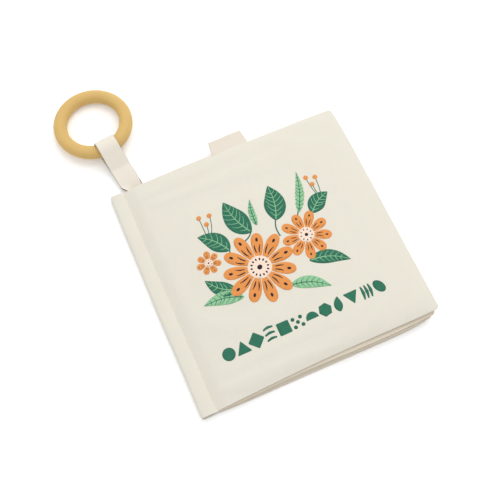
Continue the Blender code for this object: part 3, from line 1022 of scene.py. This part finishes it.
# Where cloth bends: from and to beside the stitch line, the strap's seam and the label's seam, and
# how high these places are
LEAF_BEND, LEAF_BEND_LEVEL = (-0.0008, 0.0026), 0.0065
STRAP_BEND = (-0.0012, 0.0022)
LABEL_BEND, LABEL_BEND_LEVEL = (-0.0002, 0.0016), 0.009

# Height of the crumples in the films of covers and of inner leaves, and in the waddings
COVER_FILM_CRUMPLE, LEAF_FILM_CRUMPLE, WADDING_CRUMPLE = 0.00006, 0.00022, 0.00005


def follow(thing, bodies):
    """Ride on one body, or bend from one body to the next along the groove."""
    if len(bodies) == 1:
        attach(thing, bodies[0])
    else:
        start, end = ((STITCH_X + out, 0, LEAF_BEND_LEVEL) for out in LEAF_BEND)
        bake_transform(thing, *bodies, start=start, end=end)


def make_leaf(index, name, below, above, bodies):
    """Panels of a leaf, and its film and wadding. The film of a cover lies on its inner side."""
    sheets = [leaf_panel(f"{name}_{place}_panel_cloth", index, side, material,
                         f"{name}_{place}_panel")
              for side, (place, material) in ((-1, below), (1, above))]
    side = {BACK_COVER: 1, FRONT_COVER: -1}.get(index)
    cloth, film_gap = CLOTH + GAP, CLOTH + GAP + FILM + GAP

    def film_faces(middle, half):
        if not side:
            return middle - FILM / 2, middle + FILM / 2
        face = middle + side * (half - cloth)
        return (face - side * FILM, face)[::side]

    def pad_faces(middle, half):
        return (middle - side * (half - cloth), middle + side * (half - film_gap))[::side]

    crumple = COVER_FILM_CRUMPLE if side else LEAF_FILM_CRUMPLE
    inner = [filling(f"{name}_film_sheet", index, film_faces, crumple, 60 + index, film,
                     f"{name}_crinkle_film", bodies[-1])]
    if side:
        inner.append(filling(f"{name}_wadding_pad", index, pad_faces, WADDING_CRUMPLE,
                             70 + index, wadding, f"{name}_wadding", bodies[-1]))
    return sheets, inner, bodies


simulated = [simulated_faces(index) for index in range(len(LEAVES))]
made = [make_leaf(index, *leaf) for index, leaf in enumerate(LEAVES)]

band = spine_band(canvas)
margins = margin_layers(margin_cloth)
upper_stitches = stitch_row("upper", 1, UPPER_ROW_LEVEL, thread)
lower_stitches = stitch_row("lower", -1, LOWER_ROW_LEVEL, thread)
teething_ring(silicone)

strap = ring_strap(tape)
origin = strap_frame()
start, end = (tuple(origin @ Vector((0, out, 0))) for out in STRAP_BEND)
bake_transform(strap, BASE, "strap", start=start, end=end)

label = care_label(label_tape)
start, end = ((LABEL_X, LABEL_Y + out, LABEL_BEND_LEVEL) for out in LABEL_BEND)
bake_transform(label, "front_cover", "label", start=start, end=end)

# Print on the front cover: flat outlines in mm on the cover, by ink

CORNER_CUT = 0.08
VEIN, VEIN_STEPS = 0.45, 24


def around(x, y, angle, along, across):
    """Point along and across from a place, with both ways turned by an angle."""
    c, s = cos(angle), sin(angle)
    return x + along * c - across * s, y + along * s + across * c


def ellipse(x, y, wide, tall, turn=0.0, count=30):
    angles = [tau * number / count for number in range(count)]
    return [around(x, y, turn, wide * cos(angle), tall * sin(angle))
            for angle in angles]


def polygon(x, y, radius, sides, turn=0.0):
    """Regular polygon with softly cut corners."""
    angles = [turn + tau * n / sides for n in range(sides)]
    corners = [Vector((cos(angle), sin(angle))) for angle in angles]
    points = []
    for number, corner in enumerate(corners):
        before, after = corners[number - 1], corners[(number + 1) % sides]
        for share in (0.0, 0.35, 0.65, 1.0):
            start, end = corner.lerp(before, CORNER_CUT), corner.lerp(after, CORNER_CUT)
            place = start.lerp(corner, share).lerp(corner.lerp(end, share), share)
            points.append((x + radius * place.x, y + radius * place.y))
    return points


def heading(a, b):
    return Vector((b[0] - a[0], b[1] - a[1])).normalized()


def sides_of(points, halves):
    """Both sides of a line of points, for its half width at each of them."""
    last = len(points) - 1
    left, right = [], []
    for number, ((x, y), half) in enumerate(zip(points, halves)):
        way = heading(points[max(number - 1, 0)], points[min(number + 1, last)])
        left.append((x - way.y * half, y + way.x * half))
        right.append((x + way.y * half, y - way.x * half))
    return left, right


def stroke(points, start, end=None, middle=None):
    """Outline of a drawn line whose width goes from start over middle to end."""
    end = start if end is None else end
    middle = (start + end) / 2 if middle is None else middle
    along = [number / (len(points) - 1) for number in range(len(points))]
    left, right = sides_of(points, [
        (start + (middle - start) * share * 2 if share < 0.5
         else middle + (end - middle) * (share * 2 - 1)) / 2 for share in along])
    return left + right[::-1]


def bowed(start, end, bow, count=10):
    """Points from start to end with a sideways bow, a share of the length."""
    a, b = Vector(start), Vector(end)
    side = Vector((a.y - b.y, b.x - a.x))
    return [tuple(a.lerp(b, n / count) + side * bow * sin(pi * n / count))
            for n in range(count + 1)]


def leaf_outline(start, end, width, bow, belly=0.8, teeth=0):
    """Pointed leaf about a bowed midrib, plain or with a toothed edge."""
    rib = bowed(start, end, bow, 48 if teeth else 22)
    halves = []
    for number in range(len(rib)):
        share = number / (len(rib) - 1)
        half = width / 2 * sin(pi * share ** belly) ** 0.9 if 0 < share < 1 else 0.0
        halves.append(half * (1 - 0.30 * ((share * teeth) % 1.0)) if teeth else half)
    left, right = sides_of(rib, halves)
    return left + right[-2:0:-1]


def veins(start, end, width, bow, count, belly):
    """Midrib and side veins of a leaf."""
    rib = bowed(start, end, bow, VEIN_STEPS)
    lines = [stroke(rib[1:-1], VEIN * 1.5, VEIN * 0.7)]
    for number in range(1, count + 1):
        share = number / (count + 1.6)
        root = int(share * VEIN_STEPS)
        x, y = rib[root]
        way = heading(rib[root - 1], rib[root + 1])
        reach = width * 0.40 * sin(pi * share ** belly)
        for side in (1, -1):
            tip = (x + way.x * reach * 0.85 - side * way.y * reach,
                   y + way.y * reach * 0.85 + side * way.x * reach)
            lines.append(stroke(bowed((x, y), tip, 0.08 * side, 5), VEIN, VEIN * 0.5))
    return lines


def petal(x, y, angle, inner, outer, width):
    """Round-ended petal that points away from the middle of its flower."""
    points = []
    for number in range(26):
        turn = tau * number / 26
        share = (1 - cos(turn)) / 2
        across = width / 2 * sin(turn) * (0.55 + 0.55 * share)
        points.append(around(x, y, angle, inner + (outer - inner) * share, across))
    return points


printed = {name: [] for name in INKS}


def ink(colour, layer, *outlines):
    printed[colour] += [(outline, layer) for outline in outlines]


def flower(x, y, radius, petals, turn, heart):
    """Round flower: petals with two dark marks each, a pale heart and a ring of seeds."""

    def spot(reach, angle):
        return x + reach * cos(angle), y + reach * sin(angle)

    for number in range(petals):
        angle = turn + tau * number / petals
        reach = radius * (1 + 0.04 * sin(number * 2.4))
        width = 2.15 * pi * radius * 0.62 / petals
        ink("orange", 2 + number % 2, petal(x, y, angle, heart * 0.7, reach, width))
        for side in (-0.09, 0.10):
            mark = bowed(spot(heart * 1.25, angle + side), spot(reach * 0.66, angle + side * 1.3),
                         0.05, 6)
            ink("near_black", 6, stroke(mark, radius * 0.022, radius * 0.012, radius * 0.035))
        ink("near_black", 6, ellipse(*spot(reach * 0.80, angle), radius * 0.055, radius * 0.034,
                                     angle, 14))
    ink("peach", 5, ellipse(x, y, heart, heart * 0.97))
    seeds = max(7, round(heart * 1.7))
    for number in range(seeds):
        angle = tau * number / seeds + 0.3
        ink("near_black", 7, ellipse(*spot(heart * 0.68, angle), heart * 0.105, heart * 0.07,
                                     angle, 12))
    ink("near_black", 7, ellipse(x, y, heart * 0.22, heart * 0.2, 0.4, 18))


# Leaves of the print: from and to, width, bow, number of veins and of teeth
PRINTED_LEAVES = {
    "dark_green": [
        ((-6, 16), (-15, 43), 15.0, 0.07, 6, 0), ((12, 17), (17, 42), 14.5, -0.07, 6, 0),
        ((-24, 10), (-40, 27), 12.5, -0.09, 5, 0), ((36, 12), (52, 22), 11.5, 0.09, 5, 0),
        ((-30, -16), (-47, -2), 9.5, 0.1, 5, 0), ((20, -17), (45, -27), 9.5, 0.1, 6, 0)],
    "light_green": [
        ((-28, -22), (-54, -17), 9.0, -0.08, 7, 0), ((2, -27), (26, -38), 8.5, 0.09, 6, 0),
        ((28, 16), (39, 44), 7.0, -0.05, 9, 11), ((-1, 19), (2, 38), 5.5, 0.05, 7, 9)],
}
PRINTED_STEMS = [((-13, 12), (-6, 17), -0.1), ((10, 6), (12, 18), 0.1), ((26, 10), (28, 17), 0.1),
                 ((-24, 0), (-24, 11), 0.1)]
PRINTED_BERRIES = [((-34, 21), ((-31, 33), (-27, 38), (-34, 39))),
                   ((46, 18), ((45, 31), (49, 35), (43, 37)))]
MARKS_START, MARKS_STEP, MARKS_MIDDLE = -51.5, 9.5, -50.5


def draw_print():
    """Bunch of flowers and leaves, and a row of plain shapes below it."""
    other = {"dark_green": "light_green", "light_green": "dark_green"}
    for colour, leaves in PRINTED_LEAVES.items():
        for start, end, width, bow, vein_count, teeth in leaves:
            belly = 0.7 if teeth else 0.8
            ink(colour, 0, leaf_outline(start, end, width, bow, belly, teeth))
            ink(other[colour], 1, *veins(start, end, width, bow, vein_count, belly))
    dark = "dark_green"
    for start, end, bow in PRINTED_STEMS:
        ink(dark, 0, stroke(bowed(start, end, bow), 0.9, 0.8))
    for root, spots in PRINTED_BERRIES:
        for x, y in spots:
            ink("orange", 1, ellipse(x, y, 1.7, 1.6, 0.3, 20))
            ink(dark, 0, stroke(bowed(root, (x, y - 1.2), (root[0] - x) * 0.012, 8), 0.5))
    flower(-11, -8, 24.5, 11, 0.12, 8.0)
    flower(26, 0, 16.5, 9, 0.3, 5.4)
    flower(-40, 8, 8.0, 7, 0.5, 2.8)
    at, middle = [MARKS_START + MARKS_STEP * number for number in range(12)], MARKS_MIDDLE
    bars = [stroke(bowed((at[3] - 3.3, middle + level), (at[3] + 3.3, middle + level + 0.5),
                         0.10, 8), 1.1, 1.1, 1.7) for level in (-3.6, 0.0, 3.6)]
    dots = [ellipse(at[5] + a, middle + b, 1.25, 1.25, 0.0, 18)
            for a, b in ((0, 0), (-2.6, 2.6), (2.6, 2.6), (-2.6, -2.6), (2.6, -2.6))]
    blades = [stroke(bowed((at[10] + a, middle - 4.4), (at[10] + a + 0.6, middle + 4.4),
                           -0.06, 8), 0.9, 0.9, 2.2) for a in (-2.6, 0.0, 2.6)]
    ink(dark, 0, ellipse(at[0], middle - 1, 4.2, 4.2),
        polygon(at[1], middle - 1.8, 5.6, 3, pi / 2), polygon(at[2], middle, 5.5, 4), *bars,
        polygon(at[4], middle, 5.8, 4, pi / 4), *dots,
        ellipse(at[6], middle - 2.0, 4.2, 4.7)[:16], polygon(at[7], middle, 4.6, 6, 0.2),
        leaf_outline((at[8] - 1, middle - 5), (at[8] + 1, middle + 5), 5.6, 0.05),
        polygon(at[9], middle + 1.4, 5.6, 3, -pi / 2), *blades,
        ellipse(at[11], middle, 3.2, 4.7, 0.5))


PRINT_CELL = 0.0026
PRINT_SUNK = 0.00003
PRINT_LIFT = 0.00006
PRINT_STEP = 0.000022


def print_piece(colour, surface):
    """All shapes of one ink as thin closed films that follow the cloth of the cover."""
    shape = bmesh.new()
    level = shape.verts.layers.float.new("layer")
    for outline, layer in printed[colour]:
        verts = [shape.verts.new((x * MM, y * MM, 0)) for x, y in outline]
        edges = [shape.edges.new((a, b)) for a, b in zip(verts, verts[1:] + verts[:1])]
        for vert in verts:
            vert[level] = layer
        bmesh.ops.contextual_create(shape, geom=edges)
    bmesh.ops.triangulate(shape, faces=shape.faces[:])
    places = [vert.co.copy() for vert in shape.verts]
    for axis in (0, 1):
        low, high = min(p[axis] for p in places), max(p[axis] for p in places)
        way = Vector((1 - axis, axis, 0))
        for number in range(ceil(low / PRINT_CELL), floor(high / PRINT_CELL) + 1):
            bmesh.ops.bisect_plane(shape, geom=shape.verts[:] + shape.edges[:] + shape.faces[:],
                                   dist=1e-7, plane_co=way * number * PRINT_CELL, plane_no=way)
    for face in shape.faces:
        face.normal_update()
        if face.normal.z < 0:
            face.normal_flip()
    raised = bmesh.ops.extrude_face_region(shape, geom=shape.faces[:])["geom"]
    raised = {item for item in raised if isinstance(item, bmesh.types.BMVert)}
    for vert in shape.verts:
        hit = surface.ray_cast(Vector((vert.co.x, vert.co.y, 0.05)), Vector((0, 0, -1)))[0]
        rise = PRINT_LIFT + PRINT_STEP * vert[level] if vert in raised else -PRINT_SUNK
        vert.co.z = hit.z + rise
    recalculate(shape)
    shape.verts.layers.float.remove(level)
    lay_flat(shape, {vert: vert.co.xy for vert in shape.verts})
    return piece(f"cover_print_{colour}", shape, INKS[colour], body="front_cover")


draw_print()
cover_cloth = made[FRONT_COVER][0][1]
surface = BVHTree.FromObject(cover_cloth, bpy.context.evaluated_depsgraph_get())
prints = [print_piece(colour, surface) for colour in INKS]

for sheets, inner, bodies in made:
    for sheet in sheets:
        follow(sheet, bodies)
    for pad in inner[1:]:
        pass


# Studio: a white table, one large soft lamp up to the right and an even white surrounding

FLOOR_LEVEL = -0.0001
FLOOR_GLOW, GLOW_RISE = 0.18, 0.5
SKY, SKY_NORTH = 0.75, 0.12
LAMP_PLACE, LAMP_SIZE, LAMP_ENERGY = (0.36, 0.36, 1.0), 1.0, 4.75
CAMERA_TARGET = (-0.01026, 0.00852, 0.0)
CAMERA_AZIMUTH, CAMERA_ELEVATION, CAMERA_TILT = -28.38, 70.34, 4.61
CAMERA_DISTANCE, FOCAL_PIXELS, PICTURE = 0.4582, 689.3, 500


def bare_tree(owner):
    """Emptied node tree, and 1 for rays that the camera sends, also by way of mirror or glass."""
    owner.use_nodes = True
    owner.node_tree.nodes.clear()
    n = Nodes(owner.node_tree)
    rays = n.node("LightPath").outputs
    seen = n.maths("ADD", rays["Is Camera Ray"], rays["Is Glossy Ray"])
    seen = n.maths("ADD", seen, rays["Is Transmission Ray"])
    return n, n.maths("MINIMUM", seen, 1.0)


def studio_floor():
    """White paper that looks a little brighter to the camera, the more so far away."""
    shape = grid(1, 1, 1.5)
    bmesh.ops.translate(shape, verts=shape.verts[:], vec=(0, 0, FLOOR_LEVEL))
    material = bpy.data.materials.new("white_table")
    n, seen = bare_tree(material)
    paper = n.add("BsdfDiffuse", {"Color": n.mix(seen, (0.94, 0.94, 0.94, 1.0), WHITE)})
    place = n.add("TexCoord", output="Object")
    away = n.add("VectorMath", {0: place, 1: place}, "Value", operation="DOT_PRODUCT")
    strength = n.maths("MULTIPLY", seen, n.maths("MULTIPLY_ADD", away, GLOW_RISE, FLOOR_GLOW))
    glow = n.add("Emission", {"Color": WHITE, "Strength": strength})
    n.node("OutputMaterial", {"Surface": n.add("AddShader", {0: paper, 1: glow})})
    new_object("studio_floor", shape, material)


def surroundings():
    """Even white light from all round, a little stronger from beyond the top edge."""
    world = bpy.data.worlds.new("white_studio")
    bpy.context.scene.world = world
    n, seen = bare_tree(world)
    way = n.add("SeparateXYZ", {0: n.add("TexCoord", output="Generated")}, 1)
    even = n.add("Background", {"Color": (0.97, 0.98, 1.0, 1.0),
                                "Strength": n.maths("MULTIPLY_ADD", way, SKY_NORTH, SKY)})
    white = n.add("Background", {"Color": WHITE, "Strength": 1.0})
    n.node("OutputWorld", {"Surface": n.add("MixShader", {0: seen, 1: even, 2: white})})


def key_lamp():
    data = bpy.data.lights.new("key_lamp", "AREA")
    data.shape = "DISK"
    data.size = LAMP_SIZE
    data.energy = LAMP_ENERGY
    data.color = (1.0, 0.99, 0.96)
    lamp = bpy.data.objects.new("key_lamp", data)
    bpy.context.scene.collection.objects.link(lamp)
    lamp.location = LAMP_PLACE
    lamp.rotation_mode = "QUATERNION"
    lamp.rotation_quaternion = Vector(LAMP_PLACE).to_track_quat("Z", "Y")


def studio_camera():
    """Camera of the photograph, from its target, turn, height, tilt and distance."""
    azimuth, elevation, tilt = (
        radians(a) for a in (CAMERA_AZIMUTH, CAMERA_ELEVATION, CAMERA_TILT))
    back = Vector((sin(azimuth) * cos(elevation),
                   -cos(azimuth) * cos(elevation), sin(elevation)))
    right = Vector((0, 0, 1)).cross(back).normalized()
    up = back.cross(right)
    c, s = cos(tilt), sin(tilt)
    right, up = c * right + s * up, -s * right + c * up
    data = bpy.data.cameras.new("studio_camera")
    data.sensor_width = 36.0
    data.lens = FOCAL_PIXELS / PICTURE * data.sensor_width
    data.clip_start, data.clip_end = 0.01, 10.0
    camera = bpy.data.objects.new("studio_camera", data)
    bpy.context.scene.collection.objects.link(camera)
    turn = Matrix((right, up, back)).transposed().to_4x4()
    camera.matrix_world = Matrix.Translation(
        Vector(CAMERA_TARGET) + back * CAMERA_DISTANCE) @ turn
    bpy.context.scene.camera = camera


studio_camera()
studio_floor()
surroundings()
key_lamp()
bpy.context.scene.view_settings.view_transform = "Standard"
